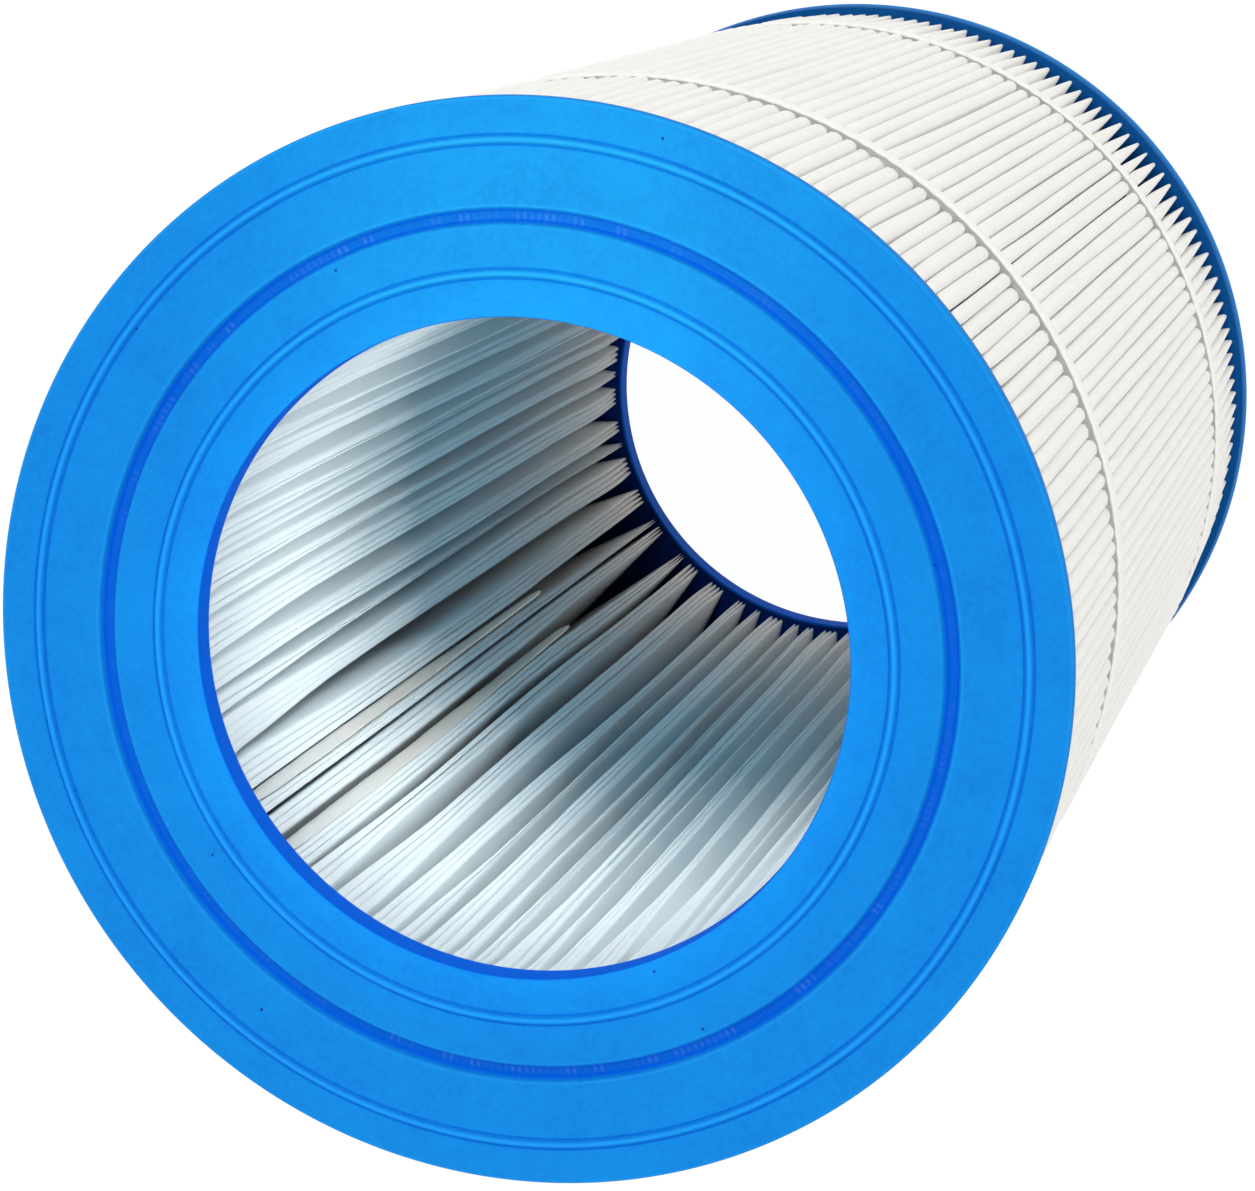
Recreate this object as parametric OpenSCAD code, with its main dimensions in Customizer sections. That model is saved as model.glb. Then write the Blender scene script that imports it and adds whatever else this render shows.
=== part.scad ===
// Open-bore pleated filter cartridge: two cast ring caps, one folded media sheet, its side seam
// and two retaining bands. It stands on its bottom cap, with +Z along the axis of the bore.

/* [Cartridge] */
// Height over the sealing beads of both caps
cartridge_h = 419; // [200:1:600]

/* [End caps] */
// Outer diameter of each cap
cap_d = 255.6; // [240:0.2:280]
// Diameter of the open bore through each cap
bore_d = 155.6; // [140:0.2:165]
// Thickness of a cap, from its outer face to the side that holds the pleats
cap_t = 7.5; // [6:0.1:14]
// Corner radius round the rim of a cap
rim_round = 1.2; // [0.4:0.1:2]
// Corner radius round the mouth of the bore
mouth_round = 0.8; // [0.3:0.1:1.5]

/* [Sealing beads] */
// Width of a bead where it leaves the face
bead_w = 2.4; // [1.6:0.1:4]
// Height of a bead above the face
bead_h = 0.9; // [0.5:0.05:1.5]
// Width of the flat land along the crest of a bead
bead_land = 0.6; // [0.3:0.1:1.2]
// Distance from the rim to the middle of the outer bead
outer_bead_inset = 9.8; // [5:0.1:14]
// Distance from the bore to the middle of the inner bead
inner_bead_inset = 10; // [5:0.1:14]

/* [Mould groove] */
// Width of the groove that the mould's pleat stop leaves in the face, at its mouth
groove_w = 4.2; // [2:0.1:5]
// Width of that groove's floor, between its sloping sides
groove_floor_w = 1.4; // [0.6:0.1:1.8]
// Depth of that groove below the face
groove_depth = 2.6; // [1:0.1:3.5]
// Distance from the bore to the middle of the groove
groove_inset = 23; // [18:0.1:26]

/* [Pleated media] */
// Number of pleats round the cartridge
pleat_count = 188; // [60:1:200]
// Thickness of the media sheet
media_t = 0.5; // [0.3:0.05:0.7]
// Width of a fold at the outside of the pack
outer_fold_w = 2.8; // [1.8:0.1:3.2]
// Width of a fold at the inside of the pack
inner_fold_w = 1.6; // [1.5:0.05:1.8]
// Rise of a fold's crest above its shoulders
fold_rise = 0.5; // [0.2:0.05:0.8]
// Distance from the rim of the caps to the outer folds
outer_ledge = 2.4; // [1.2:0.1:6]
// Distance from the bore of the caps to the inner folds
inner_ledge = 0.7; // [0.4:0.1:4]
// Skin of the cap between the groove floor and the ends of the pleats
end_skin = 0.8; // [0.4:0.1:2]

/* [Side seam] */
// Angle of the seam round the axis
seam_angle = 218; // [0:1:359]
// Thickness of the sealant between the two ends of the sheet
seam_t = 0.6; // [0.3:0.1:1]
// Depth of the sealant between the two ends of the sheet
seam_depth = 14; // [4:0.5:30]
// Rise of the sealant over the sheet's edges, towards the bore
seam_rise = 0.5; // [0.2:0.05:0.6]

/* [Retaining bands] */
// Width of a band
band_w = 6; // [2:0.1:10]
// Thickness of a band
band_t = 1.2; // [0.4:0.1:1.5]
// Corner radius along the edges of a band
band_round = 0.4; // [0.1:0.05:0.5]
// Clearance between a band and the outer folds
band_fit = 0.05; // [0.02:0.01:0.2]
// Distance from the top face to the middle of the upper band
upper_band_drop = 100; // [30:1:150]
// Distance from the bottom face to the middle of the lower band
lower_band_rise = 78; // [30:1:150]

/* [Hidden] */
$fn = 128;

cap_r = cap_d / 2;
bore_r = bore_d / 2;
outer_bead_r = cap_r - outer_bead_inset;
inner_bead_r = bore_r + inner_bead_inset;
groove_r = bore_r + groove_inset;

// Heights: the bead crests lie at 0 and at cartridge_h
bottom_face = bead_h;
top_face = cartridge_h - bead_h;
bottom_cap_inside = bottom_face + cap_t;
top_cap_inside = top_face - cap_t;
media_bottom = bottom_face + groove_depth + end_skin;
media_top = top_face - groove_depth - end_skin;

fold_out_r = cap_r - outer_ledge;
fold_in_r = bore_r + inner_ledge;
pitch = 360 / pleat_count;
band_in_r = fold_out_r + band_fit;

cut_past = 1;
crest_steps = 8;

// Point at a radius and an angle
function polar(r, a) = [r * cos(a), r * sin(a)];

// Angle that a width spans at a radius
function span(width, r) = width / r * 180 / PI;

// Crest of a fold as shoulder, crest, shoulder; way is 1 where it points outwards and -1 inwards
function crest(r, a, width, way) = [
    polar(r - way * fold_rise, a - span(width / 2, r)),
    polar(r, a),
    polar(r - way * fold_rise, a + span(width / 2, r))
];

// Back of the same fold, a sheet's thickness behind the crest, as two corners
function crest_back(r, a, width, way) =
    let (back_r = r - way * (fold_rise / 2 + media_t))
    let (half = span(width / 2 - media_t, back_r))
    [polar(back_r, a - half), polar(back_r, a + half)];

function outer_fold_angle(i) = seam_angle + (i + 0.5) * pitch;
function inner_fold_angle(i) = seam_angle + i * pitch;

// A free edge of the sheet beside the seam: the corner on the sealant, then the one away from it
function edge_corner(side, away) = polar(fold_in_r, seam_angle + side * span(seam_t / 2 + away, fold_in_r));

// The sheet's outer skin, from one free edge round to the other
function outer_skin() = [
    for (i = [0 : pleat_count - 1]) each [
        each i > 0 ? crest_back(fold_in_r, inner_fold_angle(i), inner_fold_w, -1) : [],
        each crest(fold_out_r, outer_fold_angle(i), outer_fold_w, 1)
    ]
];

// The sheet's inner skin, in the same order
function inner_skin() = [
    for (i = [0 : pleat_count - 1]) each [
        each i > 0 ? crest(fold_in_r, inner_fold_angle(i), inner_fold_w, -1) : [],
        each crest_back(fold_out_r, outer_fold_angle(i), outer_fold_w, 1)
    ]
];

function reversed(list) = [for (i = [len(list) - 1 : -1 : 0]) list[i]];

// Outline of the folded sheet, seen along the axis
function sheet_outline() = concat(
    [edge_corner(1, 0)],
    outer_skin(),
    [edge_corner(-1, 0), edge_corner(-1, media_t)],
    reversed(inner_skin()),
    [edge_corner(1, media_t)]
);

// Place on the first or last flank of the sheet, on its outer skin, a depth out from the free edge
function flank_point(side, depth) =
    let (edge = edge_corner(side, 0))
    let (shoulder_r = fold_out_r - fold_rise)
    let (shoulder_a = seam_angle + side * (pitch / 2 - span(outer_fold_w / 2, fold_out_r)))
    edge + (polar(shoulder_r, shoulder_a) - edge) * depth / (fold_out_r - fold_in_r);

// Rounded crest of the sealant over both free edges
function seam_crest() = [
    for (k = [1 : crest_steps - 1])
        let (u = 2 * k / crest_steps - 1)
        let (crest_r = fold_in_r - seam_rise * sqrt(1 - u * u))
        polar(crest_r, seam_angle - u * span(seam_t / 2 + media_t, fold_in_r))
];

function seam_outline() = concat(
    [flank_point(-1, seam_depth), flank_point(1, seam_depth)],
    [edge_corner(1, 0), edge_corner(1, media_t)],
    seam_crest(),
    [edge_corner(-1, media_t), edge_corner(-1, 0)]
);

// Section of a rounded bead with a flat crest, standing down from the face at y = 0
module bead_section(r) {
    bead_round_r = (bead_w * bead_w / 4 + bead_h * bead_h) / (2 * bead_h);
    intersection() {
        translate([r, bead_round_r - bead_h])
            circle(bead_round_r);
        translate([r - bead_w / 2, -bead_h])
            square([bead_w, bead_h + cut_past]);
    }
    translate([r - bead_land / 2, -bead_h])
        square([bead_land, bead_h + cut_past]);
}

// What a corner at the origin loses when it is rounded
module corner_waste(r) {
    difference() {
        translate([-cut_past, -cut_past])
            square(r + cut_past);
        translate([r, r])
            circle(r);
    }
}

// Section of the groove: a mouth past the face at y = 0, then sides that slope to the floor
module groove_section() {
    translate([-groove_w / 2, -cut_past])
        square([groove_w, cut_past]);
    polygon([
        [-groove_w / 2, 0],
        [groove_w / 2, 0],
        [groove_floor_w / 2, groove_depth],
        [-groove_floor_w / 2, groove_depth]
    ]);
}

// Section of a cap, with its outer face at y = 0
module cap_section() {
    difference() {
        translate([bore_r, 0])
            square([cap_r - bore_r, cap_t]);
        translate([bore_r, 0])
            corner_waste(mouth_round);
        translate([cap_r, 0])
            mirror([1, 0])
                corner_waste(rim_round);
        translate([groove_r, 0])
            groove_section();
    }
    bead_section(outer_bead_r);
    bead_section(inner_bead_r);
}

// A cap's ring, the bottom cap's way up
module cap_ring() {
    rotate_extrude()
        cap_section();
}

module folded_sheet() {
    translate([0, 0, media_bottom])
        linear_extrude(media_top - media_bottom)
            polygon(sheet_outline());
}

module band(z) {
    translate([0, 0, z - band_w / 2])
        rotate_extrude()
            translate([band_in_r, 0])
                rounded_strip();
}

// Section of a band, from its inner face outwards
module rounded_strip() {
    square([band_t - band_round, band_w]);
    translate([0, band_round])
        square([band_t, band_w - 2 * band_round]);
    for (y = [band_round, band_w - band_round])
        translate([band_t - band_round, y])
            circle(band_round);
}

module top_end_cap() {
    color("#1991e8")
        difference() {
            translate([0, 0, top_face])
                mirror([0, 0, 1])
                    cap_ring();
            folded_sheet();
        }
}

module bottom_end_cap() {
    color("#1991e8")
        difference() {
            translate([0, 0, bottom_face])
                cap_ring();
            folded_sheet();
        }
}

module pleated_media() {
    color("#f1f1ec")
        folded_sheet();
}

module side_seam() {
    color("#e8e0cc")
        translate([0, 0, bottom_cap_inside])
            linear_extrude(top_cap_inside - bottom_cap_inside)
                polygon(seam_outline());
}

module upper_band() {
    color("#f8f7f3")
        band(top_face - upper_band_drop);
}

module lower_band() {
    color("#f8f7f3")
        band(bottom_face + lower_band_rise);
}

top_end_cap();
bottom_end_cap();
pleated_media();
side_seam();
upper_band();
lower_band();
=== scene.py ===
# %% [markdown]
# # Pleated filter cartridge
# A pool filter cartridge is one long sheet of spun-bonded polyester, folded to and fro and closed into a tube. A ring
# of polyurethane is cast round each end of the tube, and two bands hold the folds. This lesson builds its looks round
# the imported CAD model, which gives the sizes and places. Every shape below is worked out with numpy in millimetres and
# becomes a mesh in metres, in the CAD model's own frame: the bore runs along Z, and the bottom cap stands on Z = 0.

import bpy
import numpy as np
from mathutils import Matrix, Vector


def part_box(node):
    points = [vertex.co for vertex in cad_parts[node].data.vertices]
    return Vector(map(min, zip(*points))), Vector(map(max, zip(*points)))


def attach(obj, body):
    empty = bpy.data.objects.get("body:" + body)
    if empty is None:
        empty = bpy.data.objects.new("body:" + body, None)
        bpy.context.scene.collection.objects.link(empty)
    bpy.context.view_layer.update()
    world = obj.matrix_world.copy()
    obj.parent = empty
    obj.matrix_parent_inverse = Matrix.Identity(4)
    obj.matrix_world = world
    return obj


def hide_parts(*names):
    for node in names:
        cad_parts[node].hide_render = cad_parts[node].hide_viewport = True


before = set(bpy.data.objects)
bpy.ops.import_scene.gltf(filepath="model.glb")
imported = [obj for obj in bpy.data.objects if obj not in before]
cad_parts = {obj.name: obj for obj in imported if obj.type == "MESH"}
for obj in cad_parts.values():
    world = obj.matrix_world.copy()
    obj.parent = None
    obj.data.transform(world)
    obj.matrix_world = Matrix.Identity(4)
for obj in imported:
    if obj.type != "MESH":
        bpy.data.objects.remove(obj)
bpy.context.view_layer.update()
MM = 0.001


def box_mm(node):
    """Lowest and highest corner of a CAD node, in millimetres."""
    return tuple(np.array(corner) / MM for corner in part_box(node))


# %% [markdown]
# ## Camera
# The photograph looks down on the standing cartridge from the +X, +Y side with a long lens. The place and the
# direction come from fitting the ellipses of both caps. The camera's up lies in the Y-Z plane, and the picture is a cut
# from the left of a wider one, so the lens is shifted a little.

# %% Camera
CAMERA_PLACE = np.array((243.18, 178.73, 1252.60))
CAMERA_LOOK = np.array((-0.29318, -0.17606, -0.93971))
LENS, SENSOR_WIDTH = 110.621, 36.0
SHIFT_X, SHIFT_Y = 0.15, -0.03

look = CAMERA_LOOK / np.linalg.norm(CAMERA_LOOK)
upright = np.array((0.0, -look[2], look[1])) / np.hypot(look[1], look[2])
turn = np.column_stack((np.cross(look, upright), upright, -look))

camera = bpy.data.objects.new("camera", bpy.data.cameras.new("camera"))
bpy.context.scene.collection.objects.link(camera)
camera.data.lens = LENS
camera.data.sensor_fit = "HORIZONTAL"
camera.data.sensor_width = SENSOR_WIDTH
camera.data.shift_x, camera.data.shift_y = SHIFT_X, SHIFT_Y
camera.data.clip_end = 50.0
camera.matrix_world = Matrix.Translation(CAMERA_PLACE * MM) @ Matrix(turn.tolist()).to_4x4()
bpy.context.scene.camera = camera
bpy.context.scene.view_settings.view_transform = "Standard"
print("camera at", CAMERA_PLACE, "mm, lens", LENS, "mm")

# %% [markdown]
# ## Small tools for meshes
# Three functions serve every piece: places on a cylinder, the quads of a grid, and a mesh object at the origin.


# %% Mesh tools
def polar(radius, angle, height):
    """Places on cylinders: x is the radius times the angle's cosine, y the radius times its sine, z the height."""
    radius, angle, height = np.broadcast_arrays(radius, angle, height)
    return np.stack((radius * np.cos(angle), radius * np.sin(angle), height), axis=-1)


def grid_faces(rows, columns, close_rows=False, close_columns=False):
    """Corner numbers of a grid's quads, counted row by row. A closed way joins its last line to its first."""
    row = np.arange(rows if close_rows else rows - 1)[:, None]
    column = np.arange(columns if close_columns else columns - 1)[None, :]
    next_row, next_column = (row + 1) % rows, (column + 1) % columns
    corners = (
        row * columns + column,
        row * columns + next_column,
        next_row * columns + next_column,
        next_row * columns + column,
    )
    return np.stack(np.broadcast_arrays(*corners), axis=-1).reshape(-1, 4)


def make_piece(name, places, faces):
    """A smooth-shaded mesh object at the origin, from places in millimetres and lists of corner numbers."""
    mesh = bpy.data.meshes.new(name)
    mesh.from_pydata((places.reshape(-1, 3) * MM).tolist(), [], faces)
    mesh.polygons.foreach_set("use_smooth", np.ones(len(mesh.polygons), bool))
    mesh.update()
    piece = bpy.data.objects.new(name, mesh)
    bpy.context.scene.collection.objects.link(piece)
    print(name, "has", sum(len(p) - 2 for p in faces), "triangles")
    return piece


# %% [markdown]
# ## End caps
# Each cap is a ring cast in an open mould, so its shape is a section carried once round the bore. The mould leaves two
# sealing beads with a fine nick along each foot, and a groove where a ridge held the folded sheet off the mould. The
# resin shrinks as it sets, so the rim draws in a little towards the poured side. The ends of the pleats show as small
# marks along the groove's floor. A Screw modifier could turn the section, but the marks differ from place to place, so
# the ring is written as a function of two parameters: place along the section and angle round the bore.

# %% Sizes of a cap
PLEATS = 188
PITCH = 2 * np.pi / PLEATS
BEAD_H = 0.9
MOUTH_ROUND, RIM_ROUND = 0.4, 1.0
RIM_DRAFT = 0.8
BORE_R = 77.8

top_low, top_high = box_mm("top_end_cap")
bottom_low, bottom_high = box_mm("bottom_end_cap")
CAP_R = top_high[0]
TOP_FACE, BOTTOM_FACE = top_high[2] - BEAD_H, bottom_low[2] + BEAD_H
CAP_T = TOP_FACE - top_low[2]
OUTER_BEAD_R, INNER_BEAD_R, GROOVE_R = CAP_R - 9.8, BORE_R + 10.0, BORE_R + 23.0
BEAD_HALF, BEAD_NICK, NICK_HALF = 1.05, 0.2, 0.16
GROOVE_HALF, GROOVE_FLOOR_HALF, GROOVE_DEPTH = 1.95, 0.95, 2.4
print("cap", round(2 * CAP_R, 1), "mm across,", round(CAP_T, 1), "mm thick")


# %% Section of a cap
def bell(value, middle, width):
    """1 where the value is the middle, and e to minus the square of its distance, counted in widths, elsewhere."""
    return np.exp(-(((value - middle) / width) ** 2))


def bead_rise(across):
    """Height of a bead: a crest that falls off with the square, less a narrow bell-shaped nick at each foot."""
    crest = BEAD_H * np.clip(1 - (across / BEAD_HALF) ** 2, 0, 1)
    return crest - BEAD_NICK * bell(np.abs(across), BEAD_HALF + NICK_HALF, NICK_HALF)


def groove_sink(across):
    """Depth of the groove: straight sides from its mouth to its floor, eased at both corners by a cosine."""
    share = np.clip((GROOVE_HALF - np.abs(across)) / (GROOVE_HALF - GROOVE_FLOOR_HALF), 0, 1)
    return GROOVE_DEPTH * (0.75 * share + 0.25 * (1 - np.cos(np.pi * share)) / 2)


def cap_section():
    """Radius and depth below the face, from the bore's inner end over the face and the rim to the underside."""
    half_bead = np.array((0.0, 0.25, 0.5, 0.75, 0.95, 1.05, 1.13, 1.21, 1.29, 1.38, 1.5, 1.9))
    across_bead = np.concatenate((-half_bead[:0:-1], half_bead))
    across_groove = np.linspace(-3.0, 3.0, 21)
    quarter = np.linspace(0, np.pi / 2, 5)
    underside = np.linspace(CAP_R - RIM_DRAFT - 0.4, BORE_R + 1.0, 4)
    radius = np.concatenate((
        [BORE_R, BORE_R, BORE_R],
        BORE_R + MOUTH_ROUND * (1 - np.cos(quarter)),
        INNER_BEAD_R + across_bead,
        GROOVE_R + across_groove,
        OUTER_BEAD_R + across_bead,
        CAP_R - RIM_ROUND * (1 - np.sin(quarter)),
        [CAP_R, CAP_R - RIM_DRAFT],
        underside,
    ))
    depth = np.concatenate((
        [CAP_T, CAP_T * 0.6, CAP_T * 0.3],
        MOUTH_ROUND * (1 - np.sin(quarter)),
        -bead_rise(across_bead),
        groove_sink(across_groove),
        -bead_rise(across_bead),
        RIM_ROUND * (1 - np.cos(quarter)),
        [CAP_T * 0.4, CAP_T],
        np.full(len(underside), CAP_T),
    ))
    return radius, depth


section_r, section_depth = cap_section()
print("section of", len(section_r), "points")

# %% Where a cap's blue changes
# Shares from 0 to 1 along the section: painted highlight on crests and edges, painted shade in hollows and at the
# bore's mouth, and darker painted shade on the poured side.
CREST_HALF, RIM_LINE, EDGE_LINE, MOUTH_LINE = 0.75, 0.25, 0.3, 0.3
OUTER_EDGE_HIGHLIGHT, INNER_EDGE_HIGHLIGHT = 0.5, 0.2
GROOVE_SHADE, FLOOR_EDGE_SHADE, NICK_SHADE = 0.65, 0.9, 0.5
POURED_RIM, LEDGE_SHADE_SHARE = 5, 0.72

from_bead = np.minimum(np.abs(section_r - OUTER_BEAD_R), np.abs(section_r - INNER_BEAD_R))
from_groove = np.abs(section_r - GROOVE_R)
# painted highlight: the bead crests, the rim's rounding and the groove's lips are painted paler
highlight_share = np.max((
    np.clip(1 - (from_bead / CREST_HALF) ** 2, 0, 1),
    bell(section_r, CAP_R - 0.4, RIM_LINE) * (section_depth < RIM_ROUND),
    bell(from_groove, GROOVE_HALF + 0.4, EDGE_LINE) * np.where(section_r > GROOVE_R, OUTER_EDGE_HIGHLIGHT, INNER_EDGE_HIGHLIGHT),
), axis=0)
# painted shade: a deeper blue with the groove's depth, in the corners of its floor, in the nicks and at the bore's
# mouth
recess_shade_share = np.max((
    GROOVE_SHADE * (groove_sink(from_groove) / GROOVE_DEPTH) ** 1.5,
    FLOOR_EDGE_SHADE * bell(from_groove, GROOVE_FLOOR_HALF + 0.15, 0.35),
    NICK_SHADE * bell(from_bead, BEAD_HALF + NICK_HALF, 0.22),
    np.clip(1 - (section_r - BORE_R) / MOUTH_LINE, 0, 1),
), axis=0)
on_poured_side = (section_depth == CAP_T) & (section_r < CAP_R) & (section_r > BORE_R)
# painted shade: the poured side is painted dark navy, a little less on the ledge at the rim
underside_shade_share = on_poured_side * np.where(section_r > CAP_R - POURED_RIM, LEDGE_SHADE_SHARE, 1.0)
print("the poured side has", on_poured_side.sum(), "points of the section")

# %% Rings with the pleats' end marks
STEPS_PER_PLEAT = 6
MARK_RISE, MARK_INWARDS = 0.35, 0.2
MARK_PEAK_ANGLE, MARK_LEAST = np.radians(105), 0.15
CAP_CREASE = np.radians(50)
rng = np.random.default_rng(7)


def cap_ring(name, face, way):
    """The section turned round the bore. On the groove's floor the ends of a pleat's two flanks lift the surface by a
    clipped cosine, times a chance strength that is often 0. The lift, and the paler colour that is partly a painted
    glint,
    are most on two opposite sides: a squared cosine of the angle."""
    steps = PLEATS * STEPS_PER_PLEAT
    angle = np.arange(steps)[:, None] * PITCH / STEPS_PER_PLEAT
    strength = np.repeat(rng.uniform(-0.4, 0.7, PLEATS).clip(0, 1), STEPS_PER_PLEAT)[:, None]
    round_strength = MARK_LEAST + (1 - MARK_LEAST) * np.cos(angle - MARK_PEAK_ANGLE) ** 2
    # the same strength round the ring sets the paler colour, which is partly a painted glint
    dash = np.clip(1.6 * np.cos(2 * PLEATS * angle) - 0.6, 0, 1) * strength * round_strength
    on_floor = np.clip(1.3 - np.abs(section_r - GROOVE_R + MARK_INWARDS) / GROOVE_FLOOR_HALF, 0, 1)
    mark = dash * on_floor
    depth = section_depth - MARK_RISE * mark
    places = polar(section_r, angle, face - way * depth)
    faces = grid_faces(steps, len(section_r), close_rows=True, close_columns=True)
    piece = make_piece(name, places, faces[:, ::way].tolist())
    piece.data.set_sharp_from_angle(angle=CAP_CREASE)
    for attribute, value in (
        ("pleat_mark_and_glint", mark), ("painted_recess_shade", recess_shade_share), ("painted_highlight", highlight_share), ("poured_side_shade", underside_shade_share),
    ):
        value = np.broadcast_to(value, depth.shape).ravel().astype(float)
        piece.data.attributes.new(attribute, "FLOAT", "POINT").data.foreach_set("value", value)
    return piece


cap_pieces = [cap_ring("cap_ring_top", TOP_FACE, 1), cap_ring("cap_ring_bottom", BOTTOM_FACE, -1)]

# %% [markdown]
# ## Pleated media
# The sheet runs out to the rim, turns in a round fold, runs back to the bore, turns again, and so on 188 times. On a
# real cartridge no two pleats are alike: the bottom cap grips the folds thin, so wedge-shaped gaps open towards it; the
# bands draw the folds in; and in the bore the folds cling together in clusters, with their edges drawn back. Drawing
# that by hand or with a Cloth simulation would be slow, so the gaps between the folds are written as functions of pleat
# number and height. The folds then share the room between two gaps, and neighbours can never cross.

# %% Heights where the sheet is worked out
# The levels crowd together beside the bands and near both ends, where the folds change fastest.
LEVELS, FINE_STEPS = 44, 3000
BAND_CROWD, END_CROWD = 14, 3
media_low, media_high = box_mm("pleated_media")
band_boxes = {name: box_mm(name) for name in ("upper_band", "lower_band")}
band_heights = [(low[2] + high[2]) / 2 for low, high in band_boxes.values()]
BAND_HALF = (band_boxes["upper_band"][1][2] - band_boxes["upper_band"][0][2]) / 2

fine = np.linspace(media_low[2], media_high[2], FINE_STEPS)
fine_from_band = np.min([np.abs(fine - z) for z in band_heights], axis=0)
crowding = 1 + BAND_CROWD * bell(fine_from_band, BAND_HALF + 3, 3.2)
crowding = crowding + END_CROWD * (np.exp(-(fine - fine[0]) / 25) + np.exp(-(fine[-1] - fine) / 8))
share = np.cumsum(crowding) / crowding.sum()
heights = np.interp(np.linspace(share[0], 1, LEVELS), share, fine)
above_bottom = np.clip(heights - bottom_high[2], 0, None)
below_top = np.clip(top_low[2] - heights, 0, None)
from_band = np.min([np.abs(heights - z) for z in band_heights], axis=0)
print("levels at", np.round(heights, 0))


# %% Smooth chance
def wander(lines, waves=4):
    """A smooth random curve over the heights for each line: cosines whose strength falls as one over their number."""
    wave = np.arange(1, waves + 1)[None, :, None]
    strength = rng.normal(size=(lines, waves, 1)) / wave
    start = rng.uniform(0, 2 * np.pi, (lines, waves, 1))
    along = (heights - heights[0]) / (heights[-1] - heights[0])
    return (strength * np.cos(np.pi * wave * along + start)).sum(axis=1)


def ease(low, high, value):
    """0 below low, 1 above high, and three squares less two cubes of the share between them."""
    part = np.clip((value - low) / (high - low), 0, 1)
    return part * part * (3 - 2 * part)


def wedge(distance, reach, power):
    """How far a gap has opened: 1 where the distance is 0, falling as a power of it to 0 at the gap's reach."""
    return np.clip(1 - distance / np.reshape(reach, (-1, 1)), 0, 1) ** np.reshape(power, (-1, 1))


def fill_room(starts, shift, gap, cling, radius, first_angle):
    """Middle and half width, as angles, of all the folds. Gaps stand at their start times the pitch, plus a shift.
    The folds between one gap and the next share the room that is left, a cling gap apart."""
    pitch = PITCH * radius
    count = np.diff(np.append(starts, PLEATS))[:, None]
    place = starts[:, None] * pitch + shift
    next_place = np.roll(place, -1, axis=0)
    next_place[-1] += PLEATS * pitch
    room = next_place - place - (gap + np.roll(gap, -1, axis=0)) / 2
    width = (room - (count - 1) * cling) / count
    cluster = np.repeat(np.arange(len(starts)), count.ravel())
    order = (np.arange(PLEATS) - starts[cluster])[:, None]
    low = (place + gap / 2)[cluster] + order * (width[cluster] + cling)
    return first_angle + (low + width[cluster] / 2) / radius, width[cluster] / 2 / radius


# %% Outer folds
SEAM_ANGLE = np.radians(218)
fold_out_r = media_high[0]
OUTER_GAP, OUTER_END_GAP, BAND_GAP = 0.22, 3.1, 2.0
BOTTOM_REACH, TOP_REACH, BAND_REACH = (48, 64), (9, 16), (6, 9)
END_POWER, BAND_POWER = 1.15, 1.7
GAP_SHIFT = 0.3

outer_gap = np.clip(OUTER_GAP + 0.2 * wander(PLEATS), 0.05, 0.9)
end_wedge = np.maximum(
    wedge(above_bottom, rng.uniform(*BOTTOM_REACH, PLEATS), END_POWER),
    wedge(below_top, rng.uniform(*TOP_REACH, PLEATS), END_POWER),
)
band_wedge = wedge(np.clip(from_band - BAND_HALF, 0, None), rng.uniform(*BAND_REACH, PLEATS), BAND_POWER)
outer_gap = outer_gap + (OUTER_END_GAP - outer_gap) * end_wedge
outer_gap = outer_gap + (BAND_GAP - outer_gap) * band_wedge
outer_shift = GAP_SHIFT * wander(PLEATS) * (1 - band_wedge) * (1 - 0.5 * end_wedge)
outer_mid, outer_half = fill_room(
    np.arange(PLEATS), outer_shift, outer_gap, 0.0, fold_out_r, SEAM_ANGLE - PITCH / 2)
outer_w = 2 * outer_half * fold_out_r
print("outer folds", outer_w.min().round(2), "to", outer_w.max().round(2), "mm wide")

# %% Clusters of inner folds
# Two, three or four folds cling together. The last two clusters belong to the lap at the seam: the seam's own gap is
# number 0, the lap's end is two gaps before it, and a narrow gap lies between.
CLUSTER_SIZES, CLUSTER_CHANCES = (2, 3, 4), (0.25, 0.5, 0.25)
SEAM_SPAN = 5
SEAM_GAPS, BESIDE_SEAM = [0, -2, -1], 1
fold_in_r = BORE_R + 0.75

starts = np.append(0, np.cumsum(rng.choice(CLUSTER_SIZES, PLEATS, p=CLUSTER_CHANCES)))
starts = np.append(starts[starts < PLEATS - SEAM_SPAN - 1], (PLEATS - SEAM_SPAN, PLEATS - SEAM_SPAN + 2))
count = np.diff(np.append(starts, PLEATS))
clusters = len(starts)
mean_count = (count + np.roll(count, 1)) / 2
print(clusters, "clusters, of", count.min(), "to", count.max(), "folds")

# %% Gaps at their far ends
# A gap is wider between large clusters, but never so wide that the smaller neighbour has no room left.
WIDEST_PER_FOLD = 1.9
LONG_SHARE, LONG_REACH, SHORT_REACH = 0.25, (55, 115), (16, 45)
SEAM_END_WIDTHS, SEAM_REACHES, BESIDE_END_WIDTH = (9.0, 6.5, 1.8), (150, 150, 110), 2.8
PART_POWER, SEAM_POWER = 1.05, 0.6

widest = WIDEST_PER_FOLD * np.minimum(count, np.roll(count, 1))
part_end_gap = np.minimum(mean_count * rng.uniform(1.2, 1.65, clusters), widest)
is_long = rng.uniform(size=clusters) < LONG_SHARE
part_reach = np.where(is_long, rng.uniform(*LONG_REACH, clusters), rng.uniform(*SHORT_REACH, clusters))
part_end_gap[SEAM_GAPS], part_reach[SEAM_GAPS] = SEAM_END_WIDTHS, SEAM_REACHES
part_end_gap[BESIDE_SEAM] = BESIDE_END_WIDTH
part_power = np.full(clusters, PART_POWER)
part_power[SEAM_GAPS] = SEAM_POWER
part_wedge = wedge(above_bottom, part_reach, part_power)
print("far ends of the gaps", part_end_gap.min().round(1), "to", part_end_gap.max().round(1), "mm wide")

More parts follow.
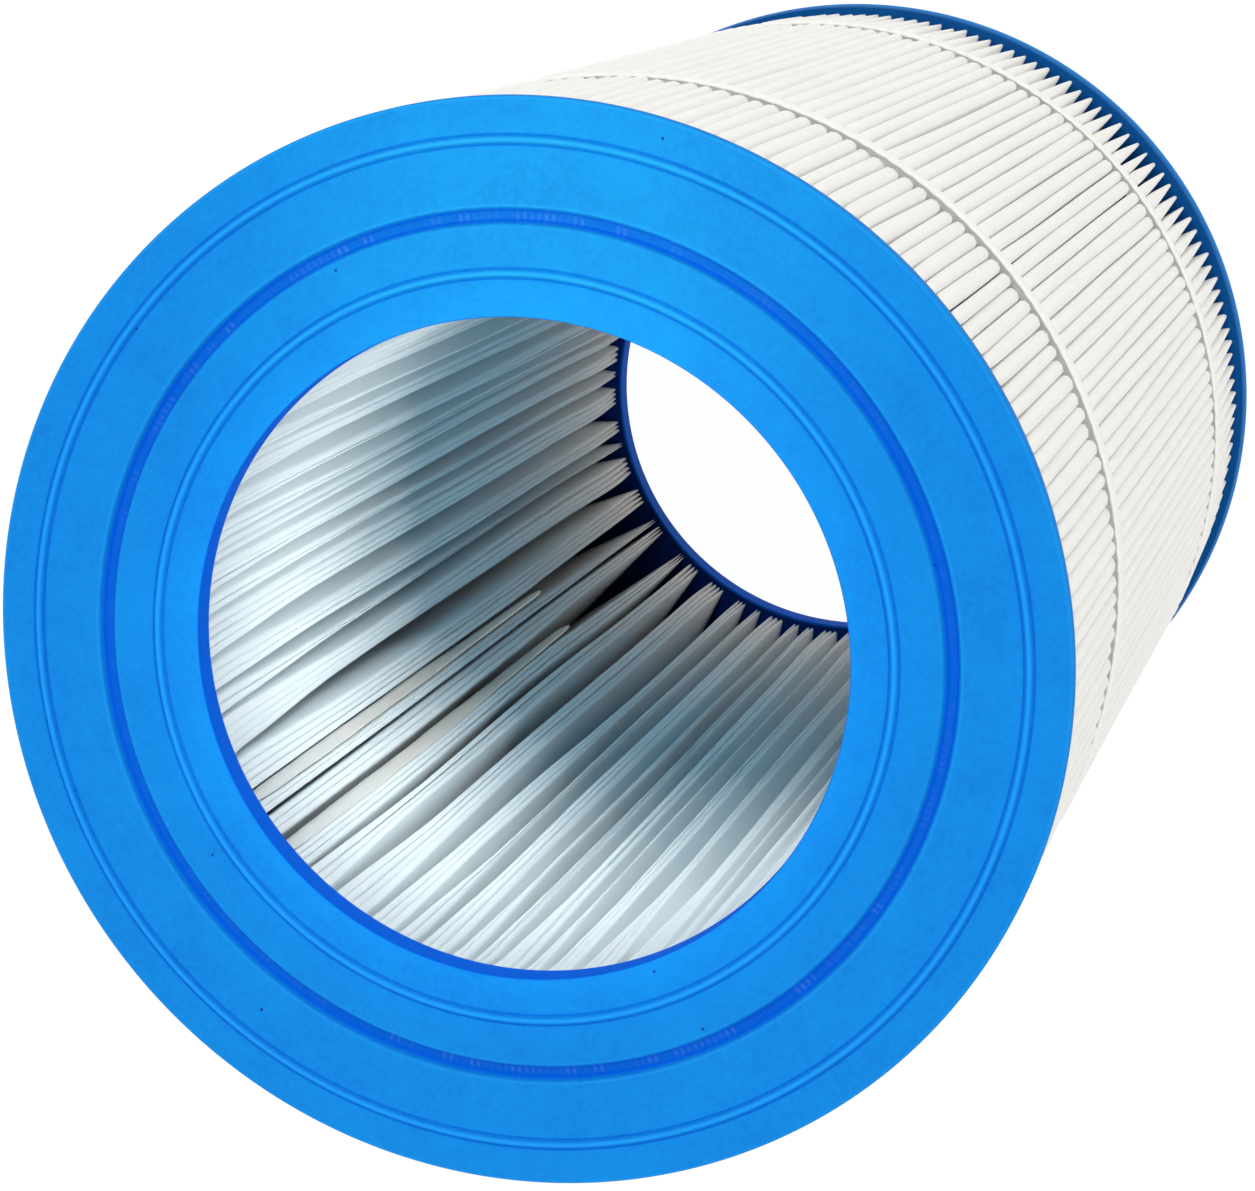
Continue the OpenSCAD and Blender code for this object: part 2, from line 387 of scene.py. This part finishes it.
# %% Inner folds
# On one side of the bore the clusters are bunched more tightly. All gaps but the seam's narrow towards the top cap.
PART_GAP, BUNCHED_MORE, BUNCHED_ANGLE, BUNCHED_SPREAD = 1.25, 0.45, np.radians(265), np.radians(30)
SEAM_WIDTHS, BESIDE_WIDTH = (5.2, 3.6, 1.0), 2.2
CLING_GAP, CLING_END_GAP = 0.04, 0.5

bunched = bell(SEAM_ANGLE + PITCH * starts, BUNCHED_ANGLE, BUNCHED_SPREAD)[:, None]
part_gap = mean_count[:, None] * np.clip(PART_GAP + BUNCHED_MORE * bunched + 0.2 * wander(clusters), 0.8, 1.85)
part_gap = np.minimum(part_gap, widest[:, None]) * (0.4 + 0.6 * ease(0, 90, below_top))
part_gap[BESIDE_SEAM] = BESIDE_WIDTH * (0.5 + 0.5 * ease(0, 90, below_top))
part_gap[SEAM_GAPS] = np.array(SEAM_WIDTHS)[:, None] + 0.15 * wander(len(SEAM_GAPS))
part_gap = part_gap + (part_end_gap[:, None] - part_gap) * part_wedge
cling_gap = CLING_GAP + CLING_END_GAP * wedge(above_bottom, 26, 1.1)
part_shift = GAP_SHIFT * wander(clusters)
inner_mid, inner_half = fill_room(starts, part_shift, part_gap, cling_gap, fold_in_r, SEAM_ANGLE)
inner_w = 2 * inner_half * fold_in_r
print("inner folds", inner_w.min().round(2), "to", inner_w.max().round(2), "mm wide")

# %% Tips of the outer folds
# A fold's tip has five places across it, half a turn apart from first to last. The outer tips bulge between the caps
# and the bands.
BULGE, BAND_DIP, END_DIP = 0.8, 1.9, 1.3
TURN = np.linspace(0, np.pi, 5)[:, None, None]

at_end = np.maximum(end_wedge, np.roll(end_wedge, -1, axis=0))
at_band = 1 - ease(BAND_HALF + 0.5, BAND_HALF + 7, from_band)
outer_tip = fold_out_r + BULGE + np.clip(0.25 * wander(PLEATS), -0.6, 0.6) - END_DIP * at_end - BAND_DIP * at_band
outer_crown = 0.3 + 0.26 * outer_w
print("outer tips at", outer_tip.min().round(1), "to", outer_tip.max().round(1), "mm")

# %% Tips of the inner folds
# The inner folds of a cluster lie on one arch, which falls off with the square of the distance from its crest. The
# crest lies to one side of the cluster's middle by a chance skew. Each cluster is set back by chance, and each fold a
# little more or less. At the top cap all of them meet the bore's edge, and at the bottom cap they lie just behind it.
ARCH_SKEW, ARCH_DEPTH, SET_BACK, FAR_SET_BACK = 0.5, (0.6, 2.4), 1.2, 1.3

cluster = np.repeat(np.arange(clusters), count)
order = np.arange(PLEATS) - starts[cluster]
across = 2 * (order + 0.5 - 0.5 * np.cos(TURN[:, :, 0])) / count[cluster] - 1
skew = rng.uniform(-ARCH_SKEW, ARCH_SKEW, clusters)[cluster]
lean = (np.abs(across - skew) / (1 + np.abs(skew))) ** 2
depth = rng.uniform(*ARCH_DEPTH, clusters)[:, None] * np.clip(1 + 0.25 * wander(clusters), 0.4, 1.5)
set_back = rng.uniform(0, SET_BACK, clusters)[:, None] + 0.3 * np.clip(wander(clusters), -1, 2)
free = ease(0, 90, above_bottom) * ease(0, 8, below_top) * (0.5 + 0.5 * ease(0, 80, below_top))
stagger = np.clip(0.35 * rng.normal(size=(PLEATS, 1)) + 0.3 * wander(PLEATS), -0.3, 1.3)
inner_tip = fold_in_r + (lean[:, :, None] * depth[cluster] + np.clip(set_back, 0, 2)[cluster] + stagger) * free
inner_tip = inner_tip + FAR_SET_BACK * wedge(above_bottom, 30, 1.0)
inner_crown = 0.38 + 0.22 * np.clip(wander(PLEATS), -1.2, 2) + (0.2 + 0.3 * inner_w) * wedge(above_bottom, 70, 1.0)
print("inner tips at", inner_tip.min().round(1), "to", inner_tip.max().round(1), "mm")

# %% Skins of the sheet
MEDIA_T = 0.5


def crown(mid, half, tip, rise, way):
    """Five points of a half ellipse across a fold; way is 1 where the fold points outwards and -1 inwards."""
    return mid - half * np.cos(TURN), tip - way * rise * (1 - np.sin(TURN))


def crown_back(mid, tip, rise, way):
    """The point behind a fold, one sheet's thickness in from its crest and then half its crown."""
    return mid[None], (tip - way * (0.5 * rise + MEDIA_T))[None]


def skin(*parts):
    """Joins parts of (angle, radius) into places in the order level, pleat, point."""
    angle = np.concatenate([part[0] for part in parts])
    radius = np.concatenate([part[1] for part in parts])
    return polar(radius, angle, heights).transpose(2, 1, 0, 3)


outer_skin = skin(
    crown(outer_mid, outer_half, outer_tip, outer_crown, 1),
    crown_back(inner_mid, inner_tip[2], inner_crown, -1),
)
inner_skin = skin(
    crown_back(outer_mid, outer_tip, outer_crown, 1),
    crown(inner_mid, inner_half, inner_tip, inner_crown, -1),
)
SKIN_POINTS = outer_skin.shape[2]
print("each skin has", SKIN_POINTS, "points a pleat on", LEVELS, "levels")

# %% The folded sheet
# Cut edge of one pleat as triangles: 0-5 are points of its outer skin, 6-11 of its inner skin, and 12 and 18 the first
# points of the next pleat.
FOLD_CREASE = np.radians(60)
CUT_EDGE = np.array((
    (6, 0, 1), (6, 1, 2), (6, 2, 3), (6, 3, 4), (6, 4, 5), (6, 5, 7),
    (5, 8, 7), (5, 9, 8), (5, 10, 9), (5, 11, 10), (5, 12, 18), (5, 18, 11),
))  # fmt: skip


def cut_edge_faces(level):
    """The cut edge's triangles all round, at one level."""
    point = np.arange(SKIN_POINTS)
    outer = level * PLEATS * SKIN_POINTS + np.arange(PLEATS)[:, None] * SKIN_POINTS + point
    inner = outer + LEVELS * PLEATS * SKIN_POINTS
    numbers = np.concatenate((outer, inner, np.roll(outer, -1, axis=0), np.roll(inner, -1, axis=0)), axis=1)
    return numbers[:, CUT_EDGE].reshape(-1, 3)


side_faces = grid_faces(LEVELS, PLEATS * SKIN_POINTS, close_columns=True)
media_faces = (
    side_faces.tolist()
    + (side_faces[:, ::-1] + LEVELS * PLEATS * SKIN_POINTS).tolist()
    + cut_edge_faces(LEVELS - 1).tolist()
    + cut_edge_faces(0)[:, ::-1].tolist()
)
media_places = np.concatenate((outer_skin.reshape(-1, 3), inner_skin.reshape(-1, 3)))
media_piece = make_piece("pleated_sheet", media_places, media_faces)
media_piece.data.set_sharp_from_angle(angle=FOLD_CREASE)
# painted shade: the bore side of the sheet gets a darker, cooler colour
bore_side_shade = np.repeat((0.0, 1.0), LEVELS * PLEATS * SKIN_POINTS)
media_piece.data.attributes.new("bore_side_shade", "FLOAT", "POINT").data.foreach_set("value", bore_side_shade)

# %% [markdown]
# ## Retaining bands
# Each band is a flat polyester strip laid round the outer folds on a bead of soft adhesive, so it wavers a little in
# height, dips very slightly between the folds, and fills the room between their tips. A curve with a bevel would do,
# but a section carried round a circle keeps the strip flat against the folds.

# %% Bands
BAND_INSET, GLUE_INSET, GLUE_DEEP = 0.25, 1.6, 3.0
BAND_STEPS_PER_PLEAT = 4
BAND_WAVES, BAND_WAVER, BAND_RIPPLE = np.arange(2, 12), 0.6, 0.1
FULL_TURN = 6.28


def band_strip(name, node):
    """A thin rounded strip over a narrower bead of adhesive, carried round the folds. Its height wavers by a few slow
    cosines of the angle, and its radius dips by a small cosine between one fold and the next."""
    low, high = band_boxes[node]
    outer_r, glue_r = high[0] - BAND_INSET, fold_out_r - GLUE_DEEP
    half, glue_half = BAND_HALF, BAND_HALF - GLUE_INSET
    section = np.array((
        (outer_r - 0.4, half), (outer_r - 0.1, half - 0.3), (outer_r, half - 0.9),
        (outer_r, 0.9 - half), (outer_r - 0.1, 0.3 - half), (outer_r - 0.4, -half),
        (outer_r - 0.9, -half), (outer_r - 1.0, -glue_half), (glue_r, -glue_half),
        (glue_r, glue_half), (outer_r - 1.0, glue_half), (outer_r - 0.9, half),
    ))  # fmt: skip
    steps = BAND_STEPS_PER_PLEAT * PLEATS
    angle = np.arange(steps)[:, None] * 2 * np.pi / steps
    strength = rng.normal(size=len(BAND_WAVES)) / BAND_WAVES
    start = rng.uniform(0, FULL_TURN, len(BAND_WAVES))
    wavering = (strength * np.cos(BAND_WAVES * angle + start)).sum(axis=1)
    radius = section[:, 0] + BAND_RIPPLE * np.cos(PLEATS * (angle - SEAM_ANGLE))
    height = (low[2] + high[2]) / 2 + BAND_WAVER * wavering[:, None] + section[:, 1]
    faces = grid_faces(steps, len(section), close_rows=True, close_columns=True)
    return make_piece(name, polar(radius, angle, height), faces.tolist())


band_pieces = {
    "upper_band": band_strip("band_upper", "upper_band"),
    "lower_band": band_strip("band_lower", "lower_band"),
}

# %% [markdown]
# ## Side seam
# Where the two ends of the sheet meet, cream hot-melt sealant bridges the gap between two clusters of folds, and a
# second, fainter line of it lies five pleats before, where the lap of the sheet ends. Each is a flat strand that lies
# aslant, so that it shades off into its gap. A curve with a flat bevel could draw it, but a function takes its path
# straight from the gap's own angles, and lets the strand swell and thin along the way.

# %% Seam
SEAM_LEVELS, SEAM_POINTS = 80, 9
STRAND_HALF_T = 0.4
seam_top = box_mm("side_seam")[1][2]


def seam_bead(cluster_gap, length, half_width, aside, recess, tilt):
    """Flat ellipses laid in one gap, level by level, one edge deeper than the other by twice the tilt. The width is a
    slow sine times a dome that closes both ends, and it narrows downwards."""
    z = np.linspace(seam_top - length, seam_top, SEAM_LEVELS)
    shift = (part_shift[cluster_gap] + aside) / fold_in_r
    mid = np.interp(z, heights, SEAM_ANGLE + PITCH * starts[cluster_gap] + shift)
    along = np.linspace(-1, 1, SEAM_LEVELS)
    swell = (1 - np.abs(along) ** 24) ** 0.5 * (0.55 + 0.45 * ease(-1, 0.2, along))
    swell = swell * (1 + 0.05 * np.sin(z / 13) + 0.02 * np.sin(z / 4.1 + 1))
    turn = np.linspace(0, 2 * np.pi, SEAM_POINTS, endpoint=False)
    across = swell[:, None] * np.cos(turn)
    angle = mid[:, None] + half_width * across / fold_in_r
    radius = fold_in_r + recess - tilt * across + STRAND_HALF_T - STRAND_HALF_T * swell[:, None] * np.sin(turn)
    return polar(radius, angle, z[:, None])


beads = [
    seam_bead(0, length=270, half_width=1.9, aside=0.9, recess=2.1, tilt=1.9),
    seam_bead(-2, length=266, half_width=1.6, aside=0.3, recess=1.8, tilt=1.5),
]
bead_faces = grid_faces(SEAM_LEVELS, SEAM_POINTS, close_columns=True)
seam_faces = np.concatenate((bead_faces, bead_faces + SEAM_LEVELS * SEAM_POINTS)).tolist()
seam_piece = make_piece("seam_bead", np.concatenate([bead.reshape(-1, 3) for bead in beads]), seam_faces)

# %% [markdown]
# ## Finishes
# Colours are written as sRGB hex and turned to the linear values that shaders use. One function adds a node, sets it
# and links it, so that each material reads from top to bottom.


# %% Material tools
def linear(hex_colour):
    """Linear RGBA: each sRGB share is divided by 12.92 below 0.04045, and otherwise raised by the sRGB power curve."""
    shares = np.array([int(hex_colour[i : i + 2], 16) for i in (1, 3, 5)]) / 255
    curve = np.where(shares <= 0.04045, shares / 12.92, ((shares + 0.055) / 1.055) ** 2.4)
    return (*curve.tolist(), 1.0)


def add(tree, kind, inputs=None, **settings):
    """Adds a node. Settings are its own properties; inputs gives each socket a value or another node's output."""
    made = tree.nodes.new(kind)
    for name, value in settings.items():
        setattr(made, name, value)
    for socket, value in (inputs or {}).items():
        if isinstance(value, bpy.types.NodeSocket):
            tree.links.new(value, made.inputs[socket])
        else:
            made.inputs[socket].default_value = value
    return made


def start_material(name):
    """A new material, with its node tree, its Principled shader and the object's own coordinates."""
    material = bpy.data.materials.new(name)
    material.use_nodes = True
    tree = material.node_tree
    return material, tree, tree.nodes["Principled BSDF"], add(tree, "ShaderNodeTexCoord").outputs["Object"]


def per_mm(size):
    """Scale of a noise or Voronoi pattern whose features are that many millimetres across."""
    return 1 / (size * MM)


# %% [markdown]
# ### Cast polyurethane
# The caps are cast from soft, self-coloured polyurethane. The open mould's skin is nearly matt with a fine mottle, the
# pigment clouds a little as it sets, and a few air bubbles burst into pits, whose shade is painted as dark spots. A
# painted highlight makes the crests of the beads, the rim and the edges of the groove paler. Painted shade makes the
# groove, the nicks at the beads' feet and the mouth of the bore a deeper blue. The pleats' ends show faintly on the
# groove's floor, and their paler colour is partly a painted glint. The poured side, which faces into the cartridge, and
# the ledge at its rim are painted dark as their shade. A painted mask could mark these places, but it would have to be
# redrawn whenever a size changes, so four values stored with the ring's points tell the shader where they are.

# %% Cap finish
PIT_SPACING, PIT_R = 13, 0.4
cap_material, tree, shader, place = start_material("cast_polyurethane")
clouds = add(tree, "ShaderNodeTexNoise", {"Vector": place, "Scale": per_mm(22), "Detail": 5.0, "Roughness": 0.65})
mottle = add(tree, "ShaderNodeTexNoise", {"Vector": place, "Scale": per_mm(1.3), "Detail": 3.0})
pits = add(tree, "ShaderNodeTexVoronoi", {"Vector": place, "Scale": per_mm(PIT_SPACING)})
# painted shade: each pit is only a dark spot, with no hollow in the mesh
pit_shade = add(tree, "ShaderNodeMath", {0: pits.outputs["Distance"], 1: PIT_R / PIT_SPACING}, operation="LESS_THAN")
# this attribute carries the painted shade of the recesses
deep = add(tree, "ShaderNodeAttribute", attribute_name="painted_recess_shade")
highlight = add(tree, "ShaderNodeAttribute", attribute_name="painted_highlight")
pale = add(tree, "ShaderNodeAttribute", attribute_name="pleat_mark_and_glint")
poured = add(tree, "ShaderNodeAttribute", attribute_name="poured_side_shade")
cloudy = add(tree, "ShaderNodeMapRange", {"Value": clouds.outputs["Fac"], "From Min": 0.3, "From Max": 0.7})
speckled = add(tree, "ShaderNodeMapRange", {
    "Value": mottle.outputs["Fac"], "From Min": 0.3, "From Max": 0.7, "To Max": 0.5})
tint = add(tree, "ShaderNodeMix", {"Factor": cloudy.outputs[0], "A": linear("#1074ca"), "B": linear("#1082d4")},
           data_type="RGBA")
for factor, colour in (
    (speckled.outputs[0], "#108cde"),
    # painted highlight on the crests, the rim and the groove's lips
    (highlight.outputs["Fac"], "#1c92e8"),
    # painted shade in the groove, the nicks and the bore's mouth
    (deep.outputs["Fac"], "#0060dc"),
    # painted shade on the poured side and the ledge
    (poured.outputs["Fac"], "#04245e"),
    # pleat ends, painted paler, partly as a painted glint
    (pale.outputs["Fac"], "#4f80ea"),
    # painted shade in the pits
    (pit_shade.outputs[0], "#0a458c"),
):
    tint = add(tree, "ShaderNodeMix", {"Factor": factor, "A": tint.outputs["Result"], "B": linear(colour)},
               data_type="RGBA")
tree.links.new(tint.outputs["Result"], shader.inputs["Base Color"])
grain = add(tree, "ShaderNodeBump", {"Height": mottle.outputs["Fac"], "Strength": 0.25, "Distance": 0.12 * MM})
tree.links.new(grain.outputs["Normal"], shader.inputs["Normal"])
shader.inputs["Roughness"].default_value = 0.6
shader.inputs["IOR"].default_value = 1.5
shader.inputs["Specular IOR Level"].default_value = 0.04
for piece in cap_pieces:
    piece.data.materials.append(cap_material)
print("finish:", cap_material.name)

# %% [markdown]
# ### Spun-bonded polyester
# The media is a felt of fine white fibres, pressed between hot rollers. It is matt and slightly uneven, and its fibres
# give it a faint nap. The real fibres are a fiftieth of a millimetre thick, so they are drawn far coarser to show. The
# face towards the bore is painted a little darker and cooler, as painted shade for the inside of the bore. Hair could
# stand for the fibres, but noise with a slight bump is enough at this distance.

# %% Media finish
media_material, tree, shader, place = start_material("spun_bonded_polyester")
thick = add(tree, "ShaderNodeTexNoise", {"Vector": place, "Scale": per_mm(9), "Detail": 4.0})
fibres = add(tree, "ShaderNodeTexNoise", {"Vector": place, "Scale": per_mm(0.9), "Detail": 3.0, "Distortion": 0.6})
tint = add(tree, "ShaderNodeMix", {"Factor": thick.outputs["Fac"], "A": linear("#f1f1ee"), "B": linear("#f8f8f5")},
           data_type="RGBA")
bore_shade = add(tree, "ShaderNodeAttribute", attribute_name="bore_side_shade").outputs["Fac"]
# painted shade: darker and cooler on the bore side
tint = add(tree, "ShaderNodeMix", {"Factor": bore_shade, "A": tint.outputs["Result"], "B": linear("#dde8ec")},
           data_type="RGBA")
tree.links.new(tint.outputs["Result"], shader.inputs["Base Color"])
nap = add(tree, "ShaderNodeBump", {"Height": fibres.outputs["Fac"], "Strength": 0.2, "Distance": 0.1 * MM})
tree.links.new(nap.outputs["Normal"], shader.inputs["Normal"])
shader.inputs["Roughness"].default_value = 0.85
shader.inputs["Sheen Weight"].default_value = 0.1
media_piece.data.materials.append(media_material)
print("finish:", media_material.name)

# %% [markdown]
# ### Polyester strip and hot-melt sealant
# The bands are the same white polyester as a denser, smoother strip. The sealant is a cream thermoplastic that set from
# a melt, so it is smoother and a little glossy. Towards the top it is spread thin, and the white sheet shows through.
# A single colour would make both look like plastic, so a slow noise varies each of them.

# %% Band and seam finishes
band_material, tree, shader, place = start_material("polyester_strip")
ribs = add(tree, "ShaderNodeTexNoise", {"Vector": place, "Scale": per_mm(1.6), "Detail": 2.0})
tint = add(tree, "ShaderNodeMix", {"Factor": ribs.outputs["Fac"], "A": linear("#f0f0ec"), "B": linear("#f8f8f5")},
           data_type="RGBA")
tree.links.new(tint.outputs["Result"], shader.inputs["Base Color"])
shader.inputs["Roughness"].default_value = 0.7
for piece in band_pieces.values():
    piece.data.materials.append(band_material)

THIN_FROM, THIN_TO = 240 * MM, 370 * MM
seam_material, tree, shader, place = start_material("hot_melt_sealant")
flow = add(tree, "ShaderNodeTexNoise", {"Vector": place, "Scale": per_mm(5), "Detail": 3.0})
tint = add(tree, "ShaderNodeMix", {"Factor": flow.outputs["Fac"], "A": linear("#dfd6c8"), "B": linear("#ebe3d6")},
           data_type="RGBA")
height = add(tree, "ShaderNodeSeparateXYZ", {0: place}).outputs["Z"]
thin = add(tree, "ShaderNodeMapRange", {"Value": height, "From Min": THIN_FROM, "From Max": THIN_TO})
tint = add(tree, "ShaderNodeMix", {"Factor": thin.outputs[0], "A": tint.outputs["Result"], "B": linear("#dde0df")},
           data_type="RGBA")
tree.links.new(tint.outputs["Result"], shader.inputs["Base Color"])
shader.inputs["Roughness"].default_value = 0.35
shader.inputs["Coat Weight"].default_value = 0.3
shader.inputs["Coat Roughness"].default_value = 0.25
seam_piece.data.materials.append(seam_material)
print("finish:", band_material.name, "and", seam_material.name)

# %% [markdown]
# ## Floor and light
# The cartridge stands on a pale table inside a white light tent. Both show white to the camera, to mirrors and through
# glass, and the table keeps a trace of the shadow. Every other ray that meets the table sees pale paint with a weak
# glow, and a warmer light panel under the bore, which lights the far ends of the pleats. The tent is the world, and
# most of its light comes from a bright ring at half height, so that surfaces facing upwards and sideways get a like
# share. One large soft lamp gives the light a direction, five narrow warm lamps reach into the bore, two bluish ones
# reach deeper down, and a last one lifts the upper edge of the top cap. An image of a real studio could light the scene
# in one step, but nodes and lamps keep each light in its own named line.

# %% Floor
FLOOR_R, FLOOR_CORNERS = 9000.0, 64
WHITE = (1.0, 1.0, 1.0, 1.0)
WHITE_SHOWN, SHADOW_TRACE = 0.98, (0.06, 0.06, 0.06, 1.0)
FLOOR_GLOW, PANEL_GLOW, PANEL_R = 0.36, 0.95, 0.9 * BORE_R

corner_angle = np.linspace(0, 2 * np.pi, FLOOR_CORNERS + 1)[:-1]
floor = make_piece("floor", polar(FLOOR_R, corner_angle, 0.0), [list(range(FLOOR_CORNERS))])
floor_material, tree, shader, place = start_material("pale_floor_paint")
shader.inputs["Base Color"].default_value = linear("#b6b6b6")
shader.inputs["Roughness"].default_value = 0.9
ray = add(tree, "ShaderNodeLightPath")
seen = add(tree, "ShaderNodeMath", {0: ray.outputs["Is Camera Ray"], 1: ray.outputs["Is Glossy Ray"]},
           operation="MAXIMUM")
seen = add(tree, "ShaderNodeMath", {0: seen.outputs[0], 1: ray.outputs["Is Transmission Ray"]}, operation="MAXIMUM")
glow = add(tree, "ShaderNodeEmission", {"Color": WHITE, "Strength": WHITE_SHOWN})
faint = add(tree, "ShaderNodeBsdfDiffuse", {"Color": SHADOW_TRACE})
white = add(tree, "ShaderNodeAddShader", {0: glow.outputs[0], 1: faint.outputs[0]})
away = add(tree, "ShaderNodeVectorMath", {0: place}, operation="LENGTH")
under_bore = add(tree, "ShaderNodeMath", {0: away.outputs["Value"], 1: PANEL_R * MM}, operation="LESS_THAN")
panel = add(tree, "ShaderNodeMapRange", {"Value": under_bore.outputs[0], "To Min": FLOOR_GLOW, "To Max": PANEL_GLOW})
warmth = add(tree, "ShaderNodeMix", {"Factor": under_bore.outputs[0], "A": linear("#fff9f2"), "B": linear("#ffdcc4")},
             data_type="RGBA")
tree.links.new(warmth.outputs["Result"], shader.inputs["Emission Color"])
tree.links.new(panel.outputs[0], shader.inputs["Emission Strength"])
mix = add(tree, "ShaderNodeMixShader", {0: seen.outputs[0], 1: shader.outputs[0], 2: white.outputs[0]})
tree.links.new(mix.outputs[0], tree.nodes["Material Output"].inputs["Surface"])
floor.data.materials.append(floor_material)
print("finish:", floor_material.name)

# %% World
TENT_GLOW, RING_GLOW = 0.3, 2.0
RING_FOOT, RING_HEAD = (0.38, 0.48), (0.74, 0.88)
world = bpy.data.worlds.new("studio")
bpy.context.scene.world = world
world.use_nodes = True
tree = world.node_tree
ray = add(tree, "ShaderNodeLightPath")
seen = add(tree, "ShaderNodeMath", {0: ray.outputs["Is Camera Ray"], 1: ray.outputs["Is Glossy Ray"]},
           operation="MAXIMUM")
seen = add(tree, "ShaderNodeMath", {0: seen.outputs[0], 1: ray.outputs["Is Transmission Ray"]}, operation="MAXIMUM")
direction = add(tree, "ShaderNodeTexCoord").outputs["Generated"]
height = add(tree, "ShaderNodeSeparateXYZ", {0: direction}).outputs["Z"]
rise = add(tree, "ShaderNodeMapRange", {"Value": height, "From Min": RING_FOOT[0], "From Max": RING_FOOT[1]})
fall = add(tree, "ShaderNodeMapRange", {
    "Value": height, "From Min": RING_HEAD[0], "From Max": RING_HEAD[1], "To Min": 1.0, "To Max": 0.0})
ring = add(tree, "ShaderNodeMath", {0: rise.outputs[0], 1: fall.outputs[0]}, operation="MULTIPLY")
tent = add(tree, "ShaderNodeMapRange", {"Value": ring.outputs[0], "To Min": TENT_GLOW, "To Max": RING_GLOW})
fill = tree.nodes["Background"]
fill.inputs["Color"].default_value = WHITE
tree.links.new(tent.outputs[0], fill.inputs["Strength"])
backdrop = add(tree, "ShaderNodeBackground", {"Color": WHITE, "Strength": 1.0})
mix = add(tree, "ShaderNodeMixShader", {0: seen.outputs[0], 1: fill.outputs[0], 2: backdrop.outputs[0]})
tree.links.new(mix.outputs[0], tree.nodes["World Output"].inputs["Surface"])
print("tent glows by", TENT_GLOW, "and its ring by", RING_GLOW)


# %% Lamps
def aimed_lamp(name, kind, place, aim, power):
    """A lamp at a place in millimetres whose beam, along its own -Z, runs to the aim."""
    lamp = bpy.data.objects.new(name, bpy.data.lights.new(name, kind))
    lamp.data.energy = power
    back = np.subtract(place, aim) / np.linalg.norm(np.subtract(place, aim))
    side = np.cross((0, 1, 0), back)
    side = side / np.linalg.norm(side)
    turn = np.column_stack((side, np.cross(back, side), back))
    lamp.matrix_world = Matrix.Translation(np.array(place) * MM) @ Matrix(turn.tolist()).to_4x4()
    bpy.context.scene.collection.objects.link(lamp)
    return lamp


key = aimed_lamp("key_lamp", "AREA", place=(200, 1800, 2300), aim=(0, 0, 300), power=10)
key.data.size = 1.4

# %% Narrow lamps
# Each row of the bore's lamps gives the angle round the bore, the tilt from the upright and the power.
SPOT_FAR, SPOT_SIZE = 1200, 0.04
WARM_LAMP, SKY_LAMP, STRAW_LAMP = (1.0, 0.93, 0.88), (0.06, 0.62, 1.0), (1.0, 0.9, 0.35)
BORE_LAMPS = ((-45, 43, 42), (0, 43, 80), (45, 42, 54), (75, 38, 52), (110, 37, 48))
DEEP_LAMPS = ((-15, 18, 46), (75, 18, 46))
BORE_CONE, DEEP_CONE, CAP_CONE = 50, 60, 90


def soft_spot(name, aim, angle, tilt, cone_r, power):
    """A spot lamp at a tilt from the upright and an angle round it, whose round beam fades out at the cone's radius."""
    place = aim + SPOT_FAR * polar(np.sin(np.radians(tilt)), np.radians(angle), np.cos(np.radians(tilt)))
    lamp = aimed_lamp(name, "SPOT", place, aim, power)
    lamp.data.spot_size, lamp.data.spot_blend = 2 * np.arctan(cone_r / SPOT_FAR), 1.0
    lamp.data.shadow_soft_size = SPOT_SIZE
    return lamp


mouth = np.array((0, 0, TOP_FACE))
for angle, tilt, power in BORE_LAMPS:
    soft_spot(f"bore_lamp_{angle}", mouth, angle, tilt, BORE_CONE, power).data.color = WARM_LAMP
for angle, tilt, power in DEEP_LAMPS:
    soft_spot(f"deep_lamp_{angle}", mouth, angle, tilt, DEEP_CONE, power).data.color = SKY_LAMP
upper_edge = polar(115.0, np.radians(82), TOP_FACE)
soft_spot("cap_lamp", upper_edge, angle=262, tilt=12, cone_r=CAP_CONE, power=34).data.color = STRAW_LAMP

# %% [markdown]
# ## Tie the pieces to the model
# Each piece rides on the one body and stands for the CAD node that it dresses, which is hidden.

# %% Ride and replace
dressed = (
    (cap_pieces[0], "top_end_cap", "cap_polyurethane"),
    (cap_pieces[1], "bottom_end_cap", "cap_polyurethane"),
    (media_piece, "pleated_media", "media_polyester"),
    (seam_piece, "side_seam", "seam_sealant"),
    (band_pieces["upper_band"], "upper_band", "band_polyester"),
    (band_pieces["lower_band"], "lower_band", "band_polyester"),
)
for piece, node, slot in dressed:
    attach(piece, "root")
    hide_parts(node)
